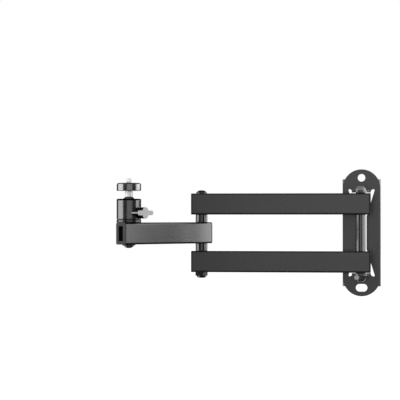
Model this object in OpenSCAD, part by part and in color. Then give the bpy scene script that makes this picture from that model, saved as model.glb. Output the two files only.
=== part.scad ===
// Double-arm wall mount for a small projector.
// A stamped plate screws to the wall. Two parallel square tubes swing on its ears, a single
// tube swings between them at the elbow, and a small ball head stands on its free end.
// The origin is on the wall at the middle of the plate. +Z is up, and the arms stand off
// the wall toward -Y and reach toward -X.

/* [Wall plate] */
// Width across the folded side flanges
plate_w = 45; // [42:0.5:60]
// Height from the outer face of each ear to the end of the plate
plate_end = 25; // [22:0.5:40]
// Sheet thickness of the plate and its ears
plate_t = 2.5; // [2:0.1:3]
// Depth of the side flanges, from the wall to the front face
flange_d = 6; // [5:0.5:10]
// Length from the end of the plate to the square end of each flange
shoulder_drop = 11.8; // [10:0.2:14]
// How far the round ends stay inside the flanges, on each side
shoulder_step = 0.5; // [0.3:0.1:2]
// Inside radius of every bend in the sheet
bend_r = 0.8; // [0.5:0.1:1.5]
// Diameter of the round screw hole at the top
hole_d = 9; // [6:0.1:11]
// Width of the sideways slot at the bottom
slot_w = 13.7; // [12:0.1:18]
// Distance from each end of the plate to its hole or slot
hole_inset = 10; // [8:0.5:14]

/* [Ears and cut-out] */
// Distance from the front of the plate to the wall pivot
pivot_reach = 21; // [19:0.5:30]
// Half width of an ear at its bend
ear_root = 8.3; // [7:0.1:10]
// Half width of an ear where it is widest
ear_wide = 11.3; // [10.5:0.1:14]
// Length from the bend to the widest place of an ear
ear_swell = 4.5; // [3:0.1:7]
// Radius of the round tip of an ear, about its bolt
ear_tip_r = 7.4; // [7:0.1:10]
// Half width of the cut-out at its outer corners
relief_x = 14; // [13:0.1:15]
// Radius of the round outer corners of the cut-out
relief_r = 1.4; // [1:0.1:2]
// Half width of the straight middle of the cut-out
window_x = 5.9; // [5:0.1:7.5]
// Half height of the straight middle of the cut-out
window_z = 19.5; // [15:0.5:24]

/* [Tubes] */
// Height of every tube
tube_h = 25; // [20:0.5:32]
// Depth of every tube
tube_w = 15; // [14:0.5:20]
// Wall of every tube
tube_wall = 1.8; // [1.2:0.1:2.2]
// Outside corner radius of every tube
tube_r = 2.2; // [1:0.1:3]
// Distance between the wall pivot and the elbow
arm_span = 188; // [160:1:260]
// Length of an arm beyond each of its pivots
arm_inset = 11.5; // [11:0.5:20]
// Distance between the elbow and the ball head
forearm_span = 121; // [90:1:150]
// Length of the forearm beyond the elbow
elbow_inset = 10.8; // [9.5:0.1:16]
// Length of the forearm beyond the middle of the ball head
head_inset = 13; // [11:0.5:20]

/* [End plugs] */
// Thickness of the rim that covers the end of a tube
plug_rim = 1.5; // [1:0.1:2.5]
// Width of the rim round the recess of a plug
plug_frame = 4; // [3.2:0.1:4.5]
// Thickness of the floor of the recess
plug_floor = 1.2; // [0.8:0.1:1.5]

/* [Pivots] */
// Radius of the two pivot bolts
bolt_r = 4; // [3:0.1:4.5]
// Radius of the domed bolt heads
bolt_head_r = 6.4; // [5.8:0.1:7.5]
// Height of the elbow bolt's head
elbow_head_h = 4.2; // [3.5:0.1:6]
// Height of the wall bolt's head
wall_head_h = 5.6; // [3.5:0.1:7]
// Width across the flats of the hex socket in each head
socket_af = 5; // [4:0.5:6]
// Width across the flats of the lock nuts
nut_af = 13; // [12.5:0.5:14]
// Height of the six-sided part of a lock nut
nut_hex_h = 4.4; // [3.5:0.1:6]
// Height of the round collar of a lock nut
nut_collar_h = 1.7; // [1:0.1:2.5]
// Length of thread that stands out of a lock nut
thread_out = 0.7; // [0.3:0.1:2]
// Length of the two elbow spacers
spacer_h = 9; // [6:0.5:14]
// Radius of the two elbow spacers
spacer_r = 7; // [6:0.1:7.4]
// Radius of the long spacer at the wall pivot
post_r = 5.8; // [5:0.1:6.5]
// Radius of the bearing bushes in the tubes
bush_r = 5; // [4.8:0.1:5.4]
// Radius of the bushes' outer rims, which keep the arms off the ears
bush_rim_r = 5.6; // [5.5:0.1:7]
// Thickness of the bushes' outer rims
bush_rim_t = 1; // [0.6:0.1:2]

/* [Ball head] */
// Radius of the ball head's body and base
head_r = 14; // [13:0.1:16]
// Height of the fixed base
base_h = 3.4; // [3:0.1:6]
// Gap that shows between the base and the turning body
pan_gap = 0.6; // [0.3:0.1:0.8]
// Height of the turning body
housing_h = 22; // [21:0.5:26]
// Round of the body's upper edge
housing_round = 1.2; // [0.5:0.1:2]
// Radius of the ball
ball_r = 8.5; // [8:0.1:9]
// Depth of the ball's middle below the top of the body
ball_drop = 4.5; // [4.2:0.1:5]
// Height of the ball's retaining lip above the middle of the ball
lip_up = 3.2; // [2.8:0.1:3.6]
// Radius of the neck between the ball and the platform
neck_r = 4.5; // [3.8:0.1:4.6]
// Distance from the top of the body to the underside of the platform
neck_rise = 9.9; // [9:0.1:16]
// Radius of the platform
platform_r = 13.9; // [12:0.1:15]
// Thickness of the platform
platform_h = 8.2; // [6:0.1:12]
// Thickness of the rubber pad
pad_t = 1.6; // [1.2:0.1:3]
// Radius of the quarter-inch stud and of the screw in the base
stud_r = 3.175; // [2.5:0.005:3.5]
// Length of stud above the pad
stud_out = 5.2; // [4:0.1:8]
// Radius of the round spigot that the body turns on
spigot_r = 8; // [7.5:0.1:8.3]
// Thickness of the spring clip that holds the body on its spigot
clip_t = 1; // [0.8:0.1:1.2]

/* [Lock knob and base screw] */
// Height of the knob's axis above the tube
knob_z = 10.9; // [10.8:0.1:12]
// Radius of the knob's hub
knob_hub_r = 6.4; // [5:0.1:7]
// Distance from the knob's axis to the tip of each wing
knob_wing = 15; // [11:0.1:16]
// Thickness of the wings
knob_bar = 5.4; // [3:0.1:7]
// Length of the knob along its axis
knob_l = 8.8; // [6:0.1:12]
// Radius of the lock screw
lock_r = 2.5; // [2:0.1:2.5]
// Radius of the washer under the tube
washer_r = 7.4; // [6:0.1:7.5]
// Thickness of the washer under the tube
washer_t = 1.3; // [0.8:0.1:2]
// Radius of the base screw's head
screw_head_r = 5.3; // [4.5:0.1:6]
// Height of the base screw's head
screw_head_h = 2.9; // [2:0.1:4]
// Width across flats of the hexagon socket in that screw
screw_socket_af = 3.5; // [2.5:0.5:4]

/* [Rest position] */
// Angle of the arms off the wall
wall_angle = 0; // [0:1:180]
// Angle of the forearm off the line of the arms
elbow_angle = 55; // [-150:1:150]
// Angle of the knob from the line back to the elbow
knob_angle = -81; // [-180:1:180]

/* [Hidden] */
$fn = 64;

// Named clearances
turn_fit = 0.05;
thread_fit = 0.02;
slip_fit = 0.1;
ball_fit = 0.2;
knob_clear = 0.5;
cut = 1;

// Heights of the stack at the pivots
forearm_top = tube_h / 2;
arm_low = forearm_top + spacer_h;
arm_mid = arm_low + tube_h / 2;
arm_top = arm_low + tube_h;
ear_low = arm_top + bush_rim_t;
ear_top = ear_low + plate_t;

// Places on the wall plate
plate_half = ear_top + plate_end;
web_back = -(flange_d - plate_t);
pivot_y = -(flange_d + pivot_reach);
end_r = plate_w / 2 - shoulder_step;
bend_out = bend_r + plate_t;
bend_z = ear_top + bend_r;
bend_y = -(flange_d + bend_r);
hole_z = plate_half - hole_inset;
relief_z = ear_top + 0.2;
ear_kerf = 0.3;
ear_dip = 2.2;

// Sizes inside the ball head, measured from the top of the forearm
housing_z = base_h + pan_gap;
housing_top = housing_z + housing_h;
ball_z = housing_top - ball_drop;
socket_r = ball_r + ball_fit;
lip_z = ball_z + lip_up;
lip_r = sqrt(pow(socket_r, 2) - pow(lip_up, 2));
mouth_r = lip_r + (ball_drop - lip_up) * 1.15;
ledge_z = housing_z + 2.4;
clip_z = ledge_z + slip_fit;
clip_groove = 1;
spigot_top = clip_z + clip_t + 0.6;
seat_z = spigot_top + 0.2;
seat_drop = 3.5;
seat_top = ball_z - seat_drop;
platform_z = housing_top + neck_rise;
pad_seat = 0.8;
pad_rim = 1;
pad_floor = platform_z + platform_h - pad_seat;
pad_top = pad_floor + pad_t;
runout_top = pad_top + 0.2;
runout_r = stud_r - 0.4;
knob_x = head_r + knob_clear;
lock_seat_x = socket_r - 0.1;
lock_tip_l = 3;
lock_tip_x = lock_seat_x - lock_tip_l;
lock_tip_r = 0.8;
lock_in_knob = knob_l - 2.5;

// Shapes shared by several pieces

// A two-dimensional rectangle with round corners, centred on the origin
module round_rect(w, h, r) {
    square([w - 2 * r, h], center = true);
    square([w, h - 2 * r], center = true);
    for (x = [-1, 1]) {
        for (y = [-1, 1]) {
            translate([x * (w / 2 - r), y * (h / 2 - r)]) circle(r);
        }
    }
}

// Extrudes a drawing of the Y-Z plane along X
module along_x(from, length) {
    translate([from, 0, 0]) rotate([90, 0, 90]) linear_extrude(length) children();
}

// Extrudes a drawing of the X-Z plane from a given depth toward -Y
module toward_room(from, length) {
    translate([0, from, 0]) rotate([90, 0, 0]) linear_extrude(length) children();
}

// Puts a piece in the frame of the arms, with the wall pivot as origin
module at_arms() {
    translate([0, pivot_y, 0]) rotate([0, 0, wall_angle]) children();
}

// Puts a piece in the frame of the forearm, with the elbow as origin
module at_forearm() {
    at_arms() translate([-arm_span, 0, 0]) rotate([0, 0, elbow_angle]) children();
}

// Puts a piece in the frame of the ball head, on the forearm and with the knob toward +X
module at_head() {
    at_forearm() translate([-forearm_span, 0, forearm_top]) rotate([0, 0, knob_angle]) children();
}

// Mirrors a piece to the lower half for side = -1
module on_side(side) {
    mirror([0, 0, side < 0 ? 1 : 0]) children();
}

// A rectangular tube along X between two places
module rect_tube(from, to) {
    along_x(from, to - from) difference() {
        round_rect(tube_w, tube_h, tube_r);
        round_rect(tube_w - 2 * tube_wall, tube_h - 2 * tube_wall, max(tube_r - tube_wall, 0.3));
    }
}

// An end plug: a rim over the tube's end, and a recessed stub inside. It faces -X from x = 0,
// and its stub stops short of a bolt of radius near_r that stands inset from the end.
module end_plug(inset, near_r) {
    stub = inset - near_r - plug_rim - 0.6;
    gap = 2 * (tube_wall + slip_fit);
    color("#2c2c2e") difference() {
        union() {
            along_x(0, plug_rim) round_rect(tube_w, tube_h, tube_r);
            along_x(plug_rim, stub) round_rect(tube_w - gap, tube_h - gap, 0.5);
        }
        along_x(-cut, cut + plug_rim + stub - plug_floor)
            round_rect(tube_w - 2 * plug_frame, tube_h - 2 * plug_frame, 0.6);
    }
}

// A domed bolt head on z = 0 with a hex socket
module dome_head(r, h, socket) {
    rim = 0.9;
    dome_h = h - rim;
    dome_r = (r * r + dome_h * dome_h) / (2 * dome_h);
    difference() {
        union() {
            cylinder(r = r, h = rim);
            intersection() {
                translate([0, 0, h - dome_r]) sphere(dome_r);
                translate([0, 0, rim / 2]) cylinder(r = r, h = h);
            }
        }
        translate([0, 0, h - socket / 2]) cylinder(d = socket / cos(30), h = h, $fn = 6);
    }
}

// A through bolt with its domed head on z = top and a plain shank down to z = bottom
module through_bolt(top, bottom, head_h) {
    color("#38383a") {
        translate([0, 0, top]) dome_head(bolt_head_r, head_h, socket_af);
        translate([0, 0, bottom]) cylinder(r = bolt_r, h = top - bottom);
    }
}

// A lock nut hanging under z = top, with its corners turned down and a round collar
module lock_nut(top) {
    corner_r = nut_af / 2 / cos(30);
    chamfer = corner_r - nut_af / 2;
    color("#38383a") translate([0, 0, top]) mirror([0, 0, 1]) difference() {
        union() {
            intersection() {
                cylinder(r = corner_r, h = nut_hex_h, $fn = 6);
                union() {
                    cylinder(r = corner_r, h = nut_hex_h - chamfer / 2);
                    translate([0, 0, nut_hex_h - chamfer / 2])
                        cylinder(r1 = corner_r, r2 = nut_af / 2, h = chamfer / 2);
                }
            }
            translate([0, 0, nut_hex_h - cut / 2]) cylinder(d = nut_af - 1.6, h = nut_collar_h);
            translate([0, 0, nut_hex_h + nut_collar_h - cut / 2])
                cylinder(d1 = nut_af - 1.6, d2 = nut_af - 2.6, h = cut / 2);
        }
        translate([0, 0, -cut]) cylinder(r = bolt_r + thread_fit, h = nut_hex_h + nut_collar_h + 2 * cut);
    }
}

// A plain sleeve about the Z axis, with its outer edges broken
module sleeve(outer, inner, from, to) {
    edge = 0.4;
    translate([0, 0, from]) difference() {
        rotate_extrude() polygon([
            [0, 0], [outer - edge, 0], [outer, edge],
            [outer, to - from - edge], [outer - edge, to - from], [0, to - from]
        ]);
        translate([0, 0, -cut]) cylinder(r = inner, h = to - from + 2 * cut);
    }
}

// Wall end

// The plate's channel section: a flat web and two side flanges, bent back to the wall
module channel_section() {
    flat = plate_w / 2 - bend_out;
    translate([-flat, -flange_d]) square([2 * flat, plate_t]);
    for (side = [0, 1]) {
        mirror([side, 0]) {
            translate([flat, -flange_d + bend_out]) intersection() {
                difference() {
                    circle(bend_out);
                    circle(bend_r);
                }
                translate([0, -bend_out]) square(bend_out);
            }
            translate([plate_w / 2 - plate_t, -flange_d + bend_out])
                square([plate_t, flange_d - bend_out]);
        }
    }
}

// Half of one side of the cut-out, from the ear's root out to the relief and in to the window
cutout_side = [
    [ear_root + ear_kerf, bend_z],
    [ear_root + ear_kerf, bend_z - ear_dip],
    [relief_x - relief_r * cos(45), relief_z + relief_r * sin(45)],
    [relief_x + relief_r, relief_z],
    [window_x, window_z]
];

// The cut-out that the two ears leave in the web
module cutout() {
    last = len(cutout_side) - 1;
    polygon(concat(
        cutout_side,
        [for (i = [last:-1:0]) [cutout_side[i][0], -cutout_side[i][1]]],
        [for (i = [0:last]) [-cutout_side[i][0], -cutout_side[i][1]]],
        [for (i = [last:-1:0]) [-cutout_side[i][0], cutout_side[i][1]]]
    ));
    for (x = [-1, 1]) {
        for (z = [-1, 1]) {
            translate([x * relief_x, z * relief_z]) circle(relief_r);
        }
    }
}

// The outline of a flat ear: it swells from its root and tapers to a round tip about the bolt
module ear_outline() {
    swell_y = bend_y - ear_swell;
    reach = sqrt(pow(ear_wide, 2) + pow(swell_y - pivot_y, 2));
    touch = atan2(swell_y - pivot_y, ear_wide) - acos(ear_tip_r / reach);
    tip = [ear_tip_r * cos(touch), pivot_y + ear_tip_r * sin(touch)];
    polygon([
        [ear_root, bend_y], [ear_root, bend_y - 1], [ear_wide, swell_y], tip,
        [-tip[0], tip[1]], [-ear_wide, swell_y], [-ear_root, bend_y - 1], [-ear_root, bend_y]
    ]);
    translate([0, pivot_y]) circle(ear_tip_r);
}

// One ear with its bend, lanced from the web and folded toward the room
module ear() {
    along_x(-ear_root, 2 * ear_root) translate([bend_y, bend_z]) intersection() {
        difference() {
            circle(bend_out);
            circle(bend_r);
        }
        translate([0, -bend_out]) square(bend_out);
    }
    translate([0, 0, ear_low]) linear_extrude(plate_t) difference() {
        ear_outline();
        translate([0, pivot_y]) circle(bolt_r + slip_fit);
    }
}

module wall_plate() {
    color("#4a4a4c") {
        difference() {
            union() {
                translate([0, 0, -(plate_half - shoulder_drop)])
                    linear_extrude(2 * (plate_half - shoulder_drop)) channel_section();
                toward_room(web_back, plate_t) {
                    for (side = [-1, 1]) {
                        translate([0, side * (plate_half - end_r)]) circle(end_r);
                    }
                    square([2 * end_r, 2 * (plate_half - end_r)], center = true);
                }
            }
            toward_room(cut, flange_d + 2 * cut) {
                cutout();
                translate([0, hole_z]) circle(d = hole_d);
                for (x = [-1, 1]) {
                    translate([x * (slot_w - hole_d) / 2, -hole_z]) circle(d = hole_d);
                }
                translate([0, -hole_z]) square([slot_w - hole_d, hole_d], center = true);
            }
        }
        for (side = [-1, 1]) {
            on_side(side) ear();
        }
    }
}

module wall_bolt() {
    bottom = -(ear_top + nut_hex_h + nut_collar_h + thread_out);
    translate([0, pivot_y, 0]) through_bolt(ear_top, bottom, wall_head_h);
}

module wall_nut() {
    translate([0, pivot_y, 0]) rotate([0, 0, 17]) lock_nut(-ear_top);
}

// A bush that lines the wall end of an arm, with a rim that keeps the arm off its ear
module pivot_bush(side) {
    at_arms() on_side(side) color("#1e1e1e") difference() {
        union() {
            translate([0, 0, arm_low]) cylinder(r = bush_r, h = tube_h + bush_rim_t / 2);
            translate([0, 0, arm_top]) cylinder(r = bush_rim_r, h = bush_rim_t);
        }
        translate([0, 0, arm_low - cut]) cylinder(r = bolt_r + turn_fit, h = tube_h + bush_rim_t + 2 * cut);
    }
}

module upper_pivot_bush() {
    pivot_bush(1);
}

module lower_pivot_bush() {
    pivot_bush(-1);
}

module pivot_post() {
    at_arms() color("#6b6b6d") sleeve(post_r, bolt_r + turn_fit, -arm_low, arm_low);
}

// Arms

// One arm: a tube with bush holes at the wall end and bolt holes at the elbow
module arm(side) {
    at_arms() translate([0, 0, side * arm_mid]) color("#48484a") difference() {
        rect_tube(-(arm_span + arm_inset - plug_rim), arm_inset - plug_rim);
        translate([0, 0, -tube_h]) cylinder(r = bush_r + thread_fit, h = 2 * tube_h);
        translate([-arm_span, 0, -tube_h]) cylinder(r = bolt_r + slip_fit, h = 2 * tube_h);
    }
}

module upper_arm() {
    arm(1);
}

module lower_arm() {
    arm(-1);
}

// The plug at the wall end of an arm
module arm_wall_plug(side) {
    at_arms() translate([arm_inset, 0, side * arm_mid]) mirror([1, 0, 0]) end_plug(arm_inset, bush_r);
}

// The plug at the elbow end of an arm
module arm_elbow_plug(side) {
    at_arms() translate([-(arm_span + arm_inset), 0, side * arm_mid]) end_plug(arm_inset, bush_r);
}

module upper_arm_wall_plug() {
    arm_wall_plug(1);
}

module upper_arm_elbow_plug() {
    arm_elbow_plug(1);
}

module lower_arm_wall_plug() {
    arm_wall_plug(-1);
}

module lower_arm_elbow_plug() {
    arm_elbow_plug(-1);
}

// Elbow

module elbow_bolt() {
    bottom = -(arm_top + nut_hex_h + nut_collar_h + thread_out);
    at_arms() translate([-arm_span, 0, 0]) through_bolt(arm_top, bottom, elbow_head_h);
}

module elbow_nut() {
    at_arms() translate([-arm_span, 0, 0]) rotate([0, 0, -6.5]) lock_nut(-arm_top);
}

// A spacer between an arm and the forearm
module elbow_spacer(side) {
    at_arms() translate([-arm_span, 0, 0]) on_side(side)
        color("#4e4e50") sleeve(spacer_r, bolt_r + slip_fit, forearm_top, arm_low);
}

module upper_elbow_spacer() {
    elbow_spacer(1);
}

module lower_elbow_spacer() {
    elbow_spacer(-1);
}

module elbow_bush() {
    at_forearm() color("#1e1e1e") difference() {
        translate([0, 0, -forearm_top]) cylinder(r = bush_r, h = tube_h);
        translate([0, 0, -forearm_top - cut]) cylinder(r = bolt_r + turn_fit, h = tube_h + 2 * cut);
    }
}

// Forearm

module forearm() {
    at_forearm() color("#6e6e70") difference() {
        rect_tube(-(forearm_span + head_inset - plug_rim), elbow_inset - plug_rim);
        translate([0, 0, -tube_h]) cylinder(r = bush_r + thread_fit, h = 2 * tube_h);
        translate([-forearm_span, 0, -tube_h]) cylinder(r = stud_r + slip_fit, h = 2 * tube_h);
    }
}

module forearm_elbow_plug() {
    at_forearm() translate([elbow_inset, 0, 0]) mirror([1, 0, 0]) end_plug(elbow_inset, bush_r);
}

module forearm_head_plug() {
    at_forearm() translate([-(forearm_span + head_inset), 0, 0]) end_plug(head_inset, bush_r);
}

module base_washer() {
    at_head() color("#202022")
        sleeve(washer_r, stud_r + slip_fit, -tube_h - washer_t, -tube_h);
}

module base_screw() {
    under = -tube_h - washer_t;
    at_head() color("#262628") {
        translate([0, 0, under]) mirror([0, 0, 1]) dome_head(screw_head_r, screw_head_h, screw_socket_af);
        translate([0, 0, under]) cylinder(r = stud_r, h = spigot_top - 1.2 - under);
    }
}

// Ball head

// The fixed base: a disc on the forearm, and the spigot that the body turns on
module head_base() {
    at_head() color("#5a5a5c") difference() {
        union() {
            sleeve(head_r, stud_r, 0, base_h);
            cylinder(r = spigot_r, h = spigot_top);
        }
        translate([0, 0, -cut]) cylinder(r = stud_r + thread_fit, h = spigot_top - 1 + cut);
        translate([0, 0, clip_z]) difference() {
            cylinder(r = spigot_r + cut, h = clip_t + slip_fit);
            translate([0, 0, -cut]) cylinder(r = spigot_r - clip_groove, h = clip_t + 2 * cut);
        }
    }
}

// An open spring ring in the spigot's groove, which holds the body down
module pan_clip() {
    inner = spigot_r - clip_groove + turn_fit;
    gap = 5;
    at_head() translate([0, 0, clip_z]) color("silver") difference() {
        cylinder(r = socket_r - slip_fit, h = clip_t);
        translate([0, 0, -cut]) cylinder(r = inner, h = clip_t + 2 * cut);
        translate([-socket_r - cut, -gap / 2, -cut]) cube([socket_r + cut, gap, clip_t + 2 * cut]);
    }
}

// The turning body: a cup with a round upper edge, a socket for the ball and a threaded side hole
module head_housing() {
    at_head() color("#707072") difference() {
        translate([0, 0, housing_z]) rotate_extrude() {
            square([head_r, housing_h - housing_round]);
            square([head_r - housing_round, housing_h]);
            translate([head_r - housing_round, housing_h - housing_round]) circle(housing_round);
        }
        translate([0, 0, housing_z - cut])
            cylinder(r = spigot_r + turn_fit, h = ledge_z - housing_z + 2 * cut);
        translate([0, 0, ledge_z]) cylinder(r = socket_r, h = ball_z - ledge_z);
        translate([0, 0, ball_z]) intersection() {
            sphere(socket_r);
            cylinder(r = socket_r, h = lip_up);
        }
        translate([0, 0, lip_z]) cylinder(r1 = lip_r, r2 = mouth_r, h = ball_drop - lip_up);
        translate([0, 0, housing_top]) cylinder(r = mouth_r, h = cut);
        translate([0, 0, knob_z]) rotate([0, 90, 0]) cylinder(r = lock_r + turn_fit, h = head_r + cut);
    }
}

// The cup under the ball, which the cone of the lock screw wedges upward
module ball_seat() {
    at_head() color("#d8d4c4") difference() {
        translate([0, 0, seat_z]) cylinder(r = socket_r - slip_fit, h = seat_top - seat_z);
        translate([0, 0, ball_z]) sphere(socket_r);
        translate([lock_tip_x - 0.5, 0, knob_z]) rotate([0, 90, 0])
            cylinder(r1 = lock_tip_r + 0.4, r2 = lock_r + 0.4, h = socket_r - lock_tip_x + 0.5);
    }
}

// Ball, neck and stud, turned as one piece
module ball_stem() {
    tip = 0.6;
    tip_z = pad_top + stud_out - tip;
    at_head() color("silver") {
        translate([0, 0, ball_z]) sphere(ball_r);
        translate([0, 0, ball_z]) cylinder(r = neck_r, h = platform_z - ball_z);
        translate([0, 0, platform_z - cut]) cylinder(r = stud_r, h = pad_floor - platform_z + cut);
        translate([0, 0, pad_floor - cut]) cylinder(r = runout_r, h = runout_top - pad_floor + 2 * cut);
        translate([0, 0, runout_top]) cylinder(r = stud_r, h = tip_z - runout_top);
        translate([0, 0, tip_z]) cylinder(r1 = stud_r, r2 = stud_r - tip, h = tip);
    }
}

module platform() {
    at_head() color("#77777a") difference() {
        sleeve(platform_r, stud_r + turn_fit, platform_z, platform_z + platform_h);
        translate([0, 0, pad_floor]) cylinder(r = platform_r - pad_rim, h = pad_seat + cut);
    }
}

module platform_pad() {
    at_head() color("#1c1c1c")
        sleeve(platform_r - pad_rim - slip_fit, stud_r + 0.5, pad_top - pad_t, pad_top);
}

// The winged knob: a round hub with two flat wings, all one thickness along its axis
module lock_knob() {
    at_head() translate([0, 0, knob_z]) color("#a0a0a4") difference() {
        along_x(knob_x, knob_l) {
            circle(knob_hub_r);
            square([2 * knob_wing - knob_bar, knob_bar], center = true);
            for (side = [-1, 1]) {
                translate([side * (knob_wing - knob_bar / 2), 0]) circle(knob_bar / 2);
            }
        }
        translate([knob_x - cut, 0, 0]) rotate([0, 90, 0])
            cylinder(r = lock_r + thread_fit, h = lock_in_knob + cut);
    }
}

module lock_screw() {
    at_head() translate([0, 0, knob_z]) rotate([0, 90, 0]) color("#8a8a8c") {
        translate([0, 0, lock_seat_x]) cylinder(r = lock_r, h = knob_x + lock_in_knob - lock_seat_x);
        translate([0, 0, lock_tip_x]) cylinder(r1 = lock_tip_r, r2 = lock_r, h = lock_seat_x - lock_tip_x);
    }
}

wall_plate();
wall_bolt();
wall_nut();
upper_pivot_bush();
lower_pivot_bush();
pivot_post();
upper_arm();
lower_arm();
upper_arm_wall_plug();
upper_arm_elbow_plug();
lower_arm_wall_plug();
lower_arm_elbow_plug();
elbow_bolt();
elbow_nut();
upper_elbow_spacer();
lower_elbow_spacer();
forearm();
elbow_bush();
forearm_elbow_plug();
forearm_head_plug();
base_screw();
base_washer();
head_base();
pan_clip();
head_housing();
ball_seat();
ball_stem();
platform();
platform_pad();
lock_knob();
lock_screw();
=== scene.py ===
import math

import bmesh
import bpy
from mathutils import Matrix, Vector


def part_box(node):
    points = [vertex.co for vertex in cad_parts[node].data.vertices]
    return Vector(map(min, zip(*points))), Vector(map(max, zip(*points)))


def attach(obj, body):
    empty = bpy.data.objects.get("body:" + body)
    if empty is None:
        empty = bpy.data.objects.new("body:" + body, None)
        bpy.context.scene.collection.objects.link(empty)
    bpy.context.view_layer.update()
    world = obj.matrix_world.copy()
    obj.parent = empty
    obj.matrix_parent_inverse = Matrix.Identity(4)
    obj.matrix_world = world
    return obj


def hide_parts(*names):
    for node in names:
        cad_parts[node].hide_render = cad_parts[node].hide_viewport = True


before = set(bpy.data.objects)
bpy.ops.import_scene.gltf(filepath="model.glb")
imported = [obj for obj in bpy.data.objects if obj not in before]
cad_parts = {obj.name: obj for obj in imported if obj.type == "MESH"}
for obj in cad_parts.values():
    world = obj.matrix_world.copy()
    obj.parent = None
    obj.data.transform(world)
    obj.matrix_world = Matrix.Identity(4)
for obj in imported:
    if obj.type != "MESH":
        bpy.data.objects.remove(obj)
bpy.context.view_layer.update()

scene = bpy.context.scene
scene.view_settings.view_transform = "Standard"
MM = 0.001


# Wall plate: one piece of 2.5 mm steel sheet, stamped, its long edges folded back to the wall and
# its two ears lanced and folded forward, then covered in black powder coat. The punch leaves the
# front edges slightly rolled.

def new_group(name, inputs, outputs):
    """An empty shader node group with its named sockets."""
    group = bpy.data.node_groups.new(name, "ShaderNodeTree")
    for socket, kind, value in inputs:
        made = group.interface.new_socket(socket, in_out="INPUT", socket_type=kind)
        made.default_value = value
    for socket, kind in outputs:
        group.interface.new_socket(socket, in_out="OUTPUT", socket_type=kind)
    return group, group.nodes.new("NodeGroupInput"), group.nodes.new("NodeGroupOutput")


FINISH_OUTPUTS = [("Colour", "NodeSocketColor"), ("Roughness", "NodeSocketFloat"),
                  ("Height", "NodeSocketFloat")]


def maths(tree, operation, *values):
    """The output of a new maths node. Each value is a number, or a socket that leads into it."""
    made = tree.nodes.new("ShaderNodeMath")
    made.operation = operation
    for place, value in zip(made.inputs, values):
        if isinstance(value, bpy.types.NodeSocket):
            tree.links.new(value, place)
        else:
            place.default_value = value
    return made.outputs[0]


def spread_finish(group, given, out, amount, pattern, height):
    """Spreads colour and roughness by a pattern about 0.5, and hands the relief on."""
    link = group.links.new
    spread = maths(group, "MULTIPLY_ADD", maths(group, "SUBTRACT", pattern, 0.5),
                   given.outputs[amount], 1.0)
    shade = group.nodes.new("ShaderNodeVectorMath")
    shade.operation = "SCALE"
    link(given.outputs["Colour"], shade.inputs[0])
    link(spread, shade.inputs["Scale"])
    link(shade.outputs["Vector"], out.inputs["Colour"])
    link(maths(group, "MULTIPLY", given.outputs["Roughness"], spread), out.inputs["Roughness"])
    link(height, out.inputs["Height"])


def make_coat_skin():
    """Powder coat flows into a fine orange peel with darker and lighter flecks in it."""
    group, given, out = new_group(
        "coat_skin",
        [("Colour", "NodeSocketColor", (0.1, 0.1, 0.1, 1.0)), ("Roughness", "NodeSocketFloat", 0.4),
         ("Peel per metre", "NodeSocketFloat", 900.0), ("Fleck", "NodeSocketFloat", 0.1)],
        FINISH_OUTPUTS)
    node, link = group.nodes.new, group.links.new
    place = node("ShaderNodeTexCoord")
    peel = node("ShaderNodeTexNoise")
    peel.inputs["Detail"].default_value = 3.0
    link(place.outputs["Object"], peel.inputs["Vector"])
    link(given.outputs["Peel per metre"], peel.inputs["Scale"])
    cloud = node("ShaderNodeTexNoise")
    cloud.inputs["Scale"].default_value = 35.0
    cloud.inputs["Detail"].default_value = 4.0
    link(place.outputs["Object"], cloud.inputs["Vector"])
    tone = node("ShaderNodeMapRange")
    tone.inputs["From Min"].default_value = 0.6
    tone.inputs["From Max"].default_value = 1.4
    link(maths(group, "ADD", peel.outputs["Fac"], cloud.outputs["Fac"]), tone.inputs["Value"])
    spread_finish(group, given, out, "Fleck", tone.outputs["Result"], peel.outputs["Fac"])
    return group


COAT_SKIN = make_coat_skin()


def new_material(name, metallic):
    """A material, its nodes and links, and its Principled surface."""
    material = bpy.data.materials.new(name)
    material.use_nodes = True
    nodes, links = material.node_tree.nodes, material.node_tree.links
    surface = nodes["Principled BSDF"]
    surface.inputs["Metallic"].default_value = metallic
    return material, nodes, links, surface


def use_group(nodes, links, surface, group, values, bump, depth):
    """Leads a finish group's colour, roughness and relief to the surface."""
    skin = nodes.new("ShaderNodeGroup")
    skin.node_tree = group
    for socket, value in values.items():
        skin.inputs[socket].default_value = value
    links.new(skin.outputs["Colour"], surface.inputs["Base Color"])
    links.new(skin.outputs["Roughness"], surface.inputs["Roughness"])
    relief = nodes.new("ShaderNodeBump")
    relief.inputs["Strength"].default_value = bump
    relief.inputs["Distance"].default_value = depth
    links.new(skin.outputs["Height"], relief.inputs["Height"])
    links.new(relief.outputs["Normal"], surface.inputs["Normal"])


def powder_coat(name, shade, rough, metallic):
    """Satin black powder coat, a shade bluer than grey."""
    material, nodes, links, surface = new_material(name, metallic)
    use_group(nodes, links, surface, COAT_SKIN,
              {"Colour": (shade, shade, shade * 1.02, 1.0), "Roughness": rough, "Fleck": 0.12},
              bump=0.12, depth=0.05 * MM)
    return material


SHARP_FROM = math.radians(32.0)


def finish(nodes, material, edge=0.0):
    """Gives CAD nodes their material, smooth faces, and a broken edge of the given width in mm."""
    for name in nodes:
        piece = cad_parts[name]
        piece.data.materials.clear()
        piece.data.materials.append(material)
        piece.data.shade_smooth()
        weld = piece.modifiers.new("joined_faces", "WELD")
        weld.merge_threshold = 0.002 * MM
        if edge:
            bevel = piece.modifiers.new("broken_edge", "BEVEL")
            bevel.width = edge * MM
            bevel.segments = 2
            bevel.limit_method = "ANGLE"
            bevel.angle_limit = SHARP_FROM
            bevel.use_clamp_overlap = True
        flat = piece.modifiers.new("flat_faces", "WEIGHTED_NORMAL")
        flat.keep_sharp = True
        piece.data.set_sharp_from_angle(angle=SHARP_FROM)


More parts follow.
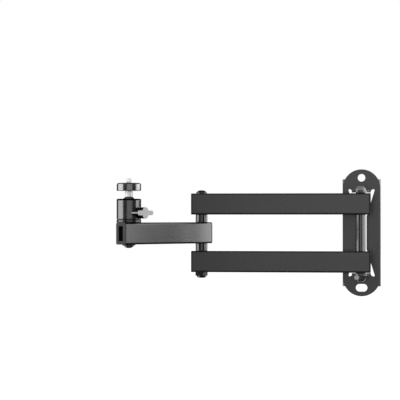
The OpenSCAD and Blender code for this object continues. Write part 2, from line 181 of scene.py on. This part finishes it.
black_coat = powder_coat("black_powder_coat", 0.137, rough=0.28, metallic=0.9)
finish(["wall_plate"], black_coat, edge=0.25)


# Wall pivot: a black zinc bolt with a low domed head through both ears, its lock nut, and a turned
# steel post between the arms. Black nylon bushes line the arms and keep them off the ears. The
# bolt's head has a lighter, duller grey than the other zinc as painted light, for the light that
# falls on its dome from above.

def make_turned_skin():
    """Fine rings that a lathe tool leaves round the upright axis, in tone, gloss and relief."""
    group, given, out = new_group(
        "turned_skin",
        [("Colour", "NodeSocketColor", (0.3, 0.3, 0.3, 1.0)), ("Roughness", "NodeSocketFloat", 0.3),
         ("Rings per metre", "NodeSocketFloat", 3000.0), ("Streak", "NodeSocketFloat", 0.15)],
        FINISH_OUTPUTS)
    node, link = group.nodes.new, group.links.new
    place = node("ShaderNodeTexCoord")
    split = node("ShaderNodeSeparateXYZ")
    link(place.outputs["Object"], split.inputs[0])
    rings = node("ShaderNodeTexNoise")
    rings.noise_dimensions = "1D"
    rings.inputs["Detail"].default_value = 4.0
    link(split.outputs["Z"], rings.inputs["W"])
    link(given.outputs["Rings per metre"], rings.inputs["Scale"])
    spread_finish(group, given, out, "Streak", rings.outputs["Fac"], rings.outputs["Fac"])
    return group


TURNED_SKIN = make_turned_skin()


def turned_metal(name, shade, rough, streak=0.2, metallic=1.0, tint=1.02):
    """Turned metal; the streak is how far its rings differ, and the tint how blue it is."""
    material, nodes, links, surface = new_material(name, metallic)
    use_group(nodes, links, surface, TURNED_SKIN,
              {"Colour": (shade, shade, shade * tint, 1.0), "Roughness": rough, "Streak": streak},
              bump=0.08, depth=0.02 * MM)
    return material


def moulded_plastic(name, shade, rough, gloss=0.5):
    """Moulded plastic or rubber with a fine grain."""
    material, nodes, links, surface = new_material(name, 0.0)
    surface.inputs["Specular IOR Level"].default_value = gloss
    use_group(nodes, links, surface, COAT_SKIN,
              {"Colour": (shade, shade, shade, 1.0), "Roughness": rough, "Peel per metre": 2600.0,
               "Fleck": 0.25},
              bump=0.25, depth=0.03 * MM)
    return material


black_zinc = turned_metal("black_zinc", 0.16, rough=0.2, streak=0.4, metallic=0.95)
post_steel = turned_metal("turned_steel", 0.16, rough=0.15, streak=0.08)
black_nylon = moulded_plastic("black_nylon", 0.02, rough=0.45)
# The wall bolt's lighter, duller zinc is painted light: it stands in for the light falling on the
# head's dome from above.
zinc_painted_light = turned_metal("zinc_painted_light", 0.22, rough=0.4, streak=0.4, metallic=0.35)
finish(["wall_bolt"], zinc_painted_light, edge=0.2)
finish(["wall_nut"], black_zinc, edge=0.2)
finish(["pivot_post"], post_steel)
finish(["upper_pivot_bush", "lower_pivot_bush"], black_nylon, edge=0.15)


# Arms: two lengths of 25 by 15 mm welded steel tube in the same powder coat. A moulded plug closes
# each end, with a rim over the tube and a deep rectangular recess.

plug_plastic = moulded_plastic("plug_plastic", 0.013, rough=0.35, gloss=0.3)
finish(["upper_arm", "lower_arm"], black_coat)
finish(["upper_arm_wall_plug", "upper_arm_elbow_plug",
        "lower_arm_wall_plug", "lower_arm_elbow_plug"], plug_plastic, edge=0.3)


# Elbow: a long black zinc bolt and its lock nut clamp both arms against two turned steel spacers.
# The forearm swings between the spacers on a nylon bush.

spacer_steel = turned_metal("spacer_steel", 0.13, rough=0.15)
finish(["elbow_bolt", "elbow_nut"], black_zinc, edge=0.2)
finish(["upper_elbow_spacer", "lower_elbow_spacer"], spacer_steel)
finish(["elbow_bush"], black_nylon)


# Forearm: the same tube again, with a brighter satin to its coat, a plug in each end, and the
# washer and round-headed screw that hold the ball head from below.

forearm_coat = powder_coat("forearm_powder_coat", 0.122, rough=0.22, metallic=0.95)
finish(["forearm"], forearm_coat)
finish(["forearm_elbow_plug", "forearm_head_plug"], plug_plastic, edge=0.3)
finish(["base_screw", "base_washer"], black_zinc, edge=0.15)


# Ball head: a turned base and body in dark anodising, the base a darker copy as painted shade for
# the dark forearm top close below it, a thin black ring on the body's rim as painted shade for the
# dark line along that rim, and a bright turned platform with a rubber pad. A spring clip and an
# acetal seat are hidden inside.

anodised = turned_metal("dark_anodised", 0.2, rough=0.2, streak=0.08, metallic=0.95)
# The base's darker copy of the anodising is painted shade, for the dark forearm top that lies close
# below it.
base_painted_shade = turned_metal("anodised_painted_shade", 0.11, rough=0.25, streak=0.08, metallic=0.95)
# The rim ring's near-black is painted shade, standing in for the dark line along the body's rim.
ring_painted_shade = turned_metal("black_painted_shade", 0.012, rough=0.3, streak=0.1)
bright_anodised = turned_metal("bright_anodised", 0.32, rough=0.2, streak=0.08, metallic=0.96)
acetal = moulded_plastic("acetal", 0.6, rough=0.4)
pad_rubber = moulded_plastic("pad_rubber", 0.02, rough=0.75)
finish(["head_housing"], anodised, edge=0.35)
finish(["head_base"], base_painted_shade, edge=0.3)
finish(["pan_clip", "lock_screw"], post_steel)
finish(["ball_seat"], acetal)
finish(["platform"], bright_anodised, edge=0.15)
finish(["platform_pad"], pad_rubber, edge=0.3)

TURN_SIDES = 96
TURNED_SHARP_FROM = math.radians(30.0)
SAME_PLACE = 0.0005 * MM


def arc(middle_r, middle_z, radius, first, last, steps):
    """Points (radius, height) on an arc of a turned profile, its angles in degrees from outward."""
    points = []
    for i in range(steps + 1):
        angle = math.radians(first + (last - first) * i / steps)
        points.append((middle_r + radius * math.cos(angle), middle_z + radius * math.sin(angle)))
    return points


def turned_piece(name, axis, rings, closed, body):
    """A turned piece in mm about an upright axis. A ring is a point of its profile, or a function
    from the share of a turn to such a point, as on a thread. The first and last ring close flat."""
    work = bmesh.new()
    columns = []
    for i in range(TURN_SIDES + 1):
        share = i / TURN_SIDES
        angle = 2 * math.pi * share
        column = []
        for ring in rings:
            r, z = ring(share) if callable(ring) else ring
            column.append(work.verts.new((axis.x + r * MM * math.cos(angle),
                                          axis.y + r * MM * math.sin(angle), z * MM)))
        columns.append(column)
    for one, other in zip(columns, columns[1:]):
        for k in range(len(rings) - (not closed)):
            following = (k + 1) % len(rings)
            work.faces.new((one[k], other[k], other[following], one[following]))
    if not closed:
        work.faces.new([column[0] for column in columns[:-1]][::-1])
        work.faces.new([column[-1] for column in columns[:-1]])
    bmesh.ops.remove_doubles(work, verts=work.verts, dist=SAME_PLACE)
    bmesh.ops.dissolve_degenerate(work, edges=work.edges, dist=SAME_PLACE)
    bmesh.ops.recalc_face_normals(work, faces=work.faces)
    data = bpy.data.meshes.new(name)
    work.to_mesh(data)
    work.free()
    data.shade_smooth()
    data.set_sharp_from_angle(angle=TURNED_SHARP_FROM)
    piece = bpy.data.objects.new(name, data)
    scene.collection.objects.link(piece)
    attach(piece, body)
    return piece


def middle(node):
    """The upright axis through a node's box."""
    low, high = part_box(node)
    return Vector(((low[0] + high[0]) / 2, (low[1] + high[1]) / 2, 0.0))


# The rim's ring follows the body's round shoulder from below and carries a larger round above it.
# Its near-black is painted shade, for the dark line along the body's rim.
body_bottom, body_top = [corner[2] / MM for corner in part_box("head_housing")]
body_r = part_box("head_base")[1][0] / MM - middle("head_base").x / MM
SHOULDER = 1.2
RIM_ROUND = 1.5
RIM_RISE = 1.0
RIM_INNER = 9.8
RIM_CHAMFER = 0.4
rim_top = body_top + RIM_RISE
rim_profile = (arc(body_r - RIM_ROUND, rim_top - RIM_ROUND, RIM_ROUND, 0, 90, 6)
               + [(RIM_INNER + RIM_CHAMFER, rim_top), (RIM_INNER, rim_top - RIM_CHAMFER),
                  (RIM_INNER, body_top)]
               + arc(body_r - SHOULDER, body_top - SHOULDER, SHOULDER, 90, 10, 6))
rim_painted_shade_ring = turned_piece("housing_rim_painted_shade_ring", middle("head_base"), rim_profile, True, "ball_housing")
rim_painted_shade_ring.data.materials.append(ring_painted_shade)

# A black nylon washer, put in as painted shade for the dark gap under the body, lies on the base's
# broad foot and fills that gap, so that no light shows through it.
BASE_HEIGHT = 3.4
WASHER_INNER = 8.3
WASHER_INSET = 0.7
WASHER_PLAY = 0.02
washer_outer = body_r - WASHER_INSET
washer_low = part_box("head_base")[0][2] / MM + BASE_HEIGHT + WASHER_PLAY
washer_top = body_bottom - WASHER_PLAY
washer_profile = [(WASHER_INNER, washer_low), (washer_outer, washer_low),
                  (washer_outer, washer_top), (WASHER_INNER, washer_top)]
painted_shade_washer = turned_piece("pan_painted_shade_washer", middle("head_base"), washer_profile, True,
                           "forearm_unit")
painted_shade_washer.data.materials.append(black_nylon)


# Ball stem: ball, neck and stud turned from one steel bar. The ball is dark, the neck and stud have
# a near-white, mostly dull colour as painted light, for the bright reflection on the neck where the
# platform shades it, and the stud carries a quarter-inch thread of 20 turns to the inch. A groove
# parts the thread from the stud's plain foot.

ball_steel = turned_metal("dark_ball", 0.08, rough=0.28, streak=0.12, metallic=0.4)
# The neck's near-white, mostly dull colour is painted light: it stands in for the bright reflection
# on the neck under the platform.
neck_painted_light = turned_metal("neck_painted_reflection", 0.9, rough=0.3, streak=0.08, metallic=0.15, tint=1.04)
PITCH = 1.27
THREAD_DEPTH = 0.687
THREAD_LENGTH = 5.2
THREAD_TURNS = 6
CREST_END, ROOT_START, ROOT_END = 0.125, 0.4375, 0.6875
FLANK = ROOT_START - CREST_END
STUD_R = 3.17
TIP_CHAMFER = 0.75
LEAD_IN_SLOPE = 1.2
GROOVE_R = STUD_R - THREAD_DEPTH - 0.05
GROOVE_EDGE = 1.9
GROOVE_FLOOR = 1.5
NECK_R = 4.5
NECK_CHAMFER = 0.35
NECK_FILLET = 1.2
NECK_PLAY = 0.05
stem_low, stem_top = [[v / MM for v in corner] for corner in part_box("ball_stem")]
ball_r = (stem_top[0] - stem_low[0]) / 2
ball_z = stem_low[2] + ball_r
thread_end = stem_top[2]
thread_start = thread_end - THREAD_LENGTH
under_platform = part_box("platform")[0][2] / MM


def thread_point(height, share):
    """Profile point of a sixty degree thread: a flat crest, a flank, a flat root and a flank."""
    phase = ((height - thread_start) / PITCH - share) % 1.0
    if phase < CREST_END:
        depth = 0.0
    elif phase < ROOT_START:
        depth = (phase - CREST_END) / FLANK
    elif phase < ROOT_END:
        depth = 1.0
    else:
        depth = (1.0 - phase) / FLANK
    radius = STUD_R - THREAD_DEPTH * depth
    lead_in = GROOVE_R + (height - thread_start) * LEAD_IN_SLOPE
    lead_out = STUD_R - TIP_CHAMFER + (thread_end - height)
    return min(radius, lead_in, lead_out), height


def thread_ring(step):
    """One of the four rings of each turn, which climbs a pitch and stops at the thread's ends."""
    whole, part = divmod(step, 4)
    climb = whole - 1 + (0.0, CREST_END, ROOT_START, ROOT_END)[part]

    def ring(share):
        height = thread_start + (climb + share) * PITCH
        return thread_point(min(max(height, thread_start), thread_end), share)
    return ring


fillet_z = math.sqrt((ball_r + NECK_FILLET) ** 2 - (NECK_R + NECK_FILLET) ** 2)
fillet_turn = math.degrees(math.atan2(fillet_z, NECK_R + NECK_FILLET))
stem_rings = (arc(0.0, ball_z, ball_r, -86, fillet_turn, 30)
              + arc(NECK_R + NECK_FILLET, ball_z + fillet_z, NECK_FILLET,
                    180 + fillet_turn, 180, 5)[1:]
              + [(NECK_R, under_platform - NECK_PLAY - NECK_CHAMFER),
                 (NECK_R - NECK_CHAMFER, under_platform - NECK_PLAY),
                 (STUD_R, under_platform), (STUD_R, thread_start - GROOVE_EDGE),
                 (GROOVE_R, thread_start - GROOVE_FLOOR)]
              + [thread_ring(step) for step in range(4 * THREAD_TURNS)])
stem = turned_piece("turned_ball_stem", middle("ball_stem"), stem_rings, False, "ball_unit")
stem.data.materials.append(neck_painted_light)
stem.data.materials.append(ball_steel)
dark_below = (ball_z + fillet_z - 0.05) * MM
for face in stem.data.polygons:
    if face.center.z < dark_below:
        face.material_index = 1
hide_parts("ball_stem")


# Lock knob: a length of winged aluminium section. Its sides are black and glossy, and its two sawn
# ends have a lighter, duller colour as painted light, for the light that falls on its face. The
# lock screw's end is pressed into it from behind.

def make_painted_light_mask(direction, start, full):
    """White on the ends of a bar that point along a direction, black on its sides."""
    group, given, out = new_group(
        "lit_end_painted_mask", [("Direction", "NodeSocketVector", direction)],
        [("Mask", "NodeSocketFloat")])
    node, link = group.nodes.new, group.links.new
    place = node("ShaderNodeTexCoord")
    along = node("ShaderNodeVectorMath")
    along.operation = "DOT_PRODUCT"
    link(place.outputs["Normal"], along.inputs[0])
    link(given.outputs["Direction"], along.inputs[1])
    edge = node("ShaderNodeMapRange")
    edge.inputs["From Min"].default_value = start
    edge.inputs["From Max"].default_value = full
    link(along.outputs["Value"], edge.inputs["Value"])
    link(edge.outputs["Result"], out.inputs["Mask"])
    return group


def knob_painted_light(axis):
    """Black glossy sides, and lighter, duller cut ends with a fine sawn grain as painted light."""
    material, nodes, links, surface = new_material("aluminium_with_painted_light", 1.0)
    side = nodes.new("ShaderNodeGroup")
    side.node_tree = TURNED_SKIN
    side.inputs["Colour"].default_value = (0.2, 0.2, 0.204, 1.0)
    side.inputs["Roughness"].default_value = 0.12
    side.inputs["Streak"].default_value = 0.2
    end = nodes.new("ShaderNodeGroup")
    end.node_tree = TURNED_SKIN
    # The ends' lighter, duller colour is painted light, for the light that falls on the knob's
    # face.
    end.inputs["Colour"].default_value = (0.41, 0.41, 0.415, 1.0)
    end.inputs["Roughness"].default_value = 0.5
    end.inputs["Rings per metre"].default_value = 6000.0
    end.inputs["Streak"].default_value = 0.35
    mask = nodes.new("ShaderNodeGroup")
    mask.node_tree = make_painted_light_mask(axis, 0.6, 0.85)
    colour = nodes.new("ShaderNodeMix")
    colour.data_type = "RGBA"
    links.new(mask.outputs["Mask"], colour.inputs["Factor"])
    links.new(side.outputs["Colour"], colour.inputs["A"])
    links.new(end.outputs["Colour"], colour.inputs["B"])
    rough = nodes.new("ShaderNodeMix")
    links.new(mask.outputs["Mask"], rough.inputs["Factor"])
    links.new(side.outputs["Roughness"], rough.inputs["A"])
    links.new(end.outputs["Roughness"], rough.inputs["B"])
    metal = nodes.new("ShaderNodeMapRange")
    metal.inputs["To Min"].default_value = 1.0
    metal.inputs["To Max"].default_value = 0.2
    links.new(mask.outputs["Mask"], metal.inputs["Value"])
    links.new(colour.outputs["Result"], surface.inputs["Base Color"])
    links.new(rough.outputs["Result"], surface.inputs["Roughness"])
    links.new(metal.outputs["Result"], surface.inputs["Metallic"])
    relief = nodes.new("ShaderNodeBump")
    relief.inputs["Strength"].default_value = 0.08
    relief.inputs["Distance"].default_value = 0.02 * MM
    links.new(end.outputs["Height"], relief.inputs["Height"])
    links.new(relief.outputs["Normal"], surface.inputs["Normal"])
    return material


knob_low, knob_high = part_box("lock_knob")
knob_axis = (Vector(knob_low) + Vector(knob_high)) / 2 - middle("head_base")
knob_axis.z = 0.0
finish(["lock_knob"], knob_painted_light(knob_axis.normalized()), edge=0.4)


# Studio: white all round, a pale floor well below, broad soft lamps, and the grey and black cards
# of a product photographer, which stand out of the frame and draw the bands on the metal. Only
# reflections see the cards.

CAMERA_TURN = math.radians(8.0)
CAMERA_DISTANCE = 2.1
CAMERA_HEIGHT = 0.021
AIM = Vector((-0.1898, -0.0273, 0.0388))
FOCAL_PIXELS = 1772.0
FRAME_PIXELS = 400.0


def bearing(degrees, distance, height):
    """A point at a bearing from the camera's side of the object, positive to the camera's right."""
    turn = CAMERA_TURN + math.radians(degrees)
    return Vector((AIM.x + distance * math.sin(turn), AIM.y - distance * math.cos(turn), height))


camera_data = bpy.data.cameras.new("camera")
camera_data.sensor_width = 36.0
camera_data.lens = FOCAL_PIXELS * camera_data.sensor_width / FRAME_PIXELS
camera_data.clip_start = 0.05
camera = bpy.data.objects.new("camera", camera_data)
camera.location = bearing(0.0, CAMERA_DISTANCE, CAMERA_HEIGHT)
camera.rotation_euler = (AIM - camera.location).to_track_quat("-Z", "Y").to_euler()
scene.collection.objects.link(camera)
scene.camera = camera


def card_material():
    """Even light of the tone that is written on the card's own corners."""
    material = bpy.data.materials.new("card_tone")
    material.use_nodes = True
    nodes, links = material.node_tree.nodes, material.node_tree.links
    nodes.clear()
    tone = nodes.new("ShaderNodeAttribute")
    tone.attribute_name = "tone"
    glow = nodes.new("ShaderNodeEmission")
    links.new(tone.outputs["Fac"], glow.inputs["Strength"])
    links.new(glow.outputs[0], nodes.new("ShaderNodeOutputMaterial").inputs["Surface"])
    return material


CARD_TONE = card_material()


def hang_card(name, points, faces, tones):
    """Places a card that only reflections see."""
    data = bpy.data.meshes.new(name)
    data.from_pydata(points, [], faces)
    written = data.attributes.new("tone", "FLOAT", "POINT")
    for i, tone in enumerate(tones):
        written.data[i].value = tone
    data.materials.append(CARD_TONE)
    piece = bpy.data.objects.new(name, data)
    scene.collection.objects.link(piece)
    for ray in ("camera", "diffuse", "shadow", "transmission", "volume_scatter"):
        setattr(piece, "visible_" + ray, False)


def standing_card(name, stops, distance, low, high):
    """A curved card through (bearing, tone) stops, between two heights from the middle."""
    points, faces, tones = [], [], []
    for (left, left_tone), (right, right_tone) in zip(stops, stops[1:]):
        steps = max(1, int(abs(right - left) / 3))
        for i in range(steps + (right == stops[-1][0])):
            share = i / steps
            for height in (low, high):
                points.append(bearing(left + (right - left) * share, distance, AIM.z + height))
                tones.append(left_tone + (right_tone - left_tone) * share)
    for i in range(0, len(points) - 2, 2):
        faces.append((i, i + 2, i + 3, i + 1))
    hang_card(name, points, faces, tones)


def level_square(x, y, half, height):
    """The corners of a level square."""
    return [(x + side * half, y + depth * half, height)
            for side, depth in ((-1, -1), (1, -1), (1, 1), (-1, 1))]


def flat_card(name, half, height, tone):
    """A level card above or below the object."""
    hang_card(name, level_square(AIM.x, AIM.y, half, height), [(0, 1, 2, 3)], [tone] * 4)


# A standing card's stops from left to right, its distance, its lower edge and its upper edge.
BLACK = 0.03
WHITE = 2.0
BRIGHT = 2.8
SURROUND = 1.34
FAR = 1.3
NEAR = 0.4
STANDING_CARDS = {
    "dark_surround": ([(-180, BLACK), (180, BLACK)], SURROUND, -1.2, 0.6),
    "upper_surround": ([(-180, 0.35), (180, 0.35)], SURROUND, 0.6, 1.2),
    "left_window": ([(-112, WHITE), (-54, WHITE)], FAR, -0.5, 0.6),
    "front_grey_card": ([(-19, 0.47), (28, 0.47)], FAR, -0.26, 0.6),
    "right_window": ([(104, BRIGHT), (124, BRIGHT)], FAR, -0.5, 0.6),
    "back_grey_card": ([(150, BLACK), (165, 0.6), (195, 0.6), (210, BLACK)], FAR, -0.6, 0.6),
    "right_near_window": (
        [(54, 0.2), (60, 1.4), (66, 2.2), (72, 1.9), (77, 1.0), (81, 0.5), (83.5, 0.3),
         (85.5, 0.4), (87, 1.1), (89, 2.0), (91, 3.0), (94, 3.0), (108, 2.6)], NEAR, -0.1, 0.0),
    "head_near_window": (
        [(54, 0.2), (60, 1.4), (66, 2.2), (72, 2.0), (77, 1.9), (83, 2.2), (87, 2.7), (91, 3.2),
         (98, 3.6), (108, 4.4)], NEAR, 0.0, 0.18),
}
for name, (stops, distance, low, high) in STANDING_CARDS.items():
    standing_card(name, stops, distance, low, high)
flat_card("top_card", half=1.4, height=0.95, tone=0.06)
flat_card("bottom_card", half=1.4, height=-0.55, tone=0.02)

# The floor looks white from above and is clear from below.
FLOOR_Z = -0.6
FLOOR_HALF = 30.0
FLOOR_LIFT = 0.6
floor_data = bpy.data.meshes.new("floor")
floor_data.from_pydata(level_square(0.0, 0.0, FLOOR_HALF, FLOOR_Z), [], [(0, 1, 2, 3)])
floor_material = bpy.data.materials.new("pale_floor")
floor_material.use_nodes = True
floor_nodes, floor_links = floor_material.node_tree.nodes, floor_material.node_tree.links
floor_surface = floor_nodes["Principled BSDF"]
floor_surface.inputs["Base Color"].default_value = (0.8, 0.8, 0.8, 1.0)
floor_surface.inputs["Roughness"].default_value = 0.9
floor_surface.inputs["Specular IOR Level"].default_value = 0.0
floor_glow = floor_nodes.new("ShaderNodeEmission")
floor_path = floor_nodes.new("ShaderNodeLightPath")
floor_links.new(maths(floor_material.node_tree, "MULTIPLY",
                      floor_path.outputs["Is Camera Ray"], FLOOR_LIFT),
                floor_glow.inputs["Strength"])
floor_sum = floor_nodes.new("ShaderNodeAddShader")
floor_links.new(floor_surface.outputs[0], floor_sum.inputs[0])
floor_links.new(floor_glow.outputs[0], floor_sum.inputs[1])
floor_side = floor_nodes.new("ShaderNodeNewGeometry")
floor_clear = floor_nodes.new("ShaderNodeBsdfTransparent")
floor_mix = floor_nodes.new("ShaderNodeMixShader")
floor_links.new(floor_side.outputs["Backfacing"], floor_mix.inputs[0])
floor_links.new(floor_sum.outputs[0], floor_mix.inputs[1])
floor_links.new(floor_clear.outputs[0], floor_mix.inputs[2])
floor_links.new(floor_mix.outputs[0], floor_nodes["Material Output"].inputs["Surface"])
floor_data.materials.append(floor_material)
floor = bpy.data.objects.new("floor", floor_data)
scene.collection.objects.link(floor)

# The sky is white where it is seen or mirrored, and softer in what it sheds on dull faces.
world = bpy.data.worlds.new("studio")
scene.world = world
world.use_nodes = True
sky_nodes, sky_links = world.node_tree.nodes, world.node_tree.links
sky_nodes.clear()
sky_path = sky_nodes.new("ShaderNodeLightPath")
sky_seen = maths(world.node_tree, "MAXIMUM", sky_path.outputs["Is Camera Ray"],
                 sky_path.outputs["Is Glossy Ray"])
sky_clear = maths(world.node_tree, "MAXIMUM", sky_seen,
                  sky_path.outputs["Is Transmission Ray"])
white_sky = sky_nodes.new("ShaderNodeBackground")
white_sky.inputs["Color"].default_value = (1.0, 1.0, 1.0, 1.0)
soft_sky = sky_nodes.new("ShaderNodeBackground")
soft_sky.inputs["Color"].default_value = (0.6, 0.6, 0.6, 1.0)
sky_mix = sky_nodes.new("ShaderNodeMixShader")
sky_links.new(sky_clear, sky_mix.inputs[0])
sky_links.new(soft_sky.outputs[0], sky_mix.inputs[1])
sky_links.new(white_sky.outputs[0], sky_mix.inputs[2])
sky_links.new(sky_mix.outputs[0], sky_nodes.new("ShaderNodeOutputWorld").inputs["Surface"])


def lamp(name, degrees, distance, height, size, watts):
    """A soft square lamp that lights the object without showing in its gloss."""
    data = bpy.data.lights.new(name, "AREA")
    data.size = size
    data.energy = watts
    made = bpy.data.objects.new(name, data)
    made.location = bearing(degrees, distance, height)
    made.rotation_euler = (AIM - made.location).to_track_quat("-Z", "Y").to_euler()
    made.visible_glossy = False
    scene.collection.objects.link(made)


lamp("left_lamp", degrees=-50.0, distance=1.6, height=0.5, size=1.2, watts=17.0)
lamp("right_lamp", degrees=65.0, distance=1.6, height=0.5, size=1.2, watts=11.0)
lamp("back_lamp", degrees=170.0, distance=1.8, height=1.2, size=1.2, watts=6.0)
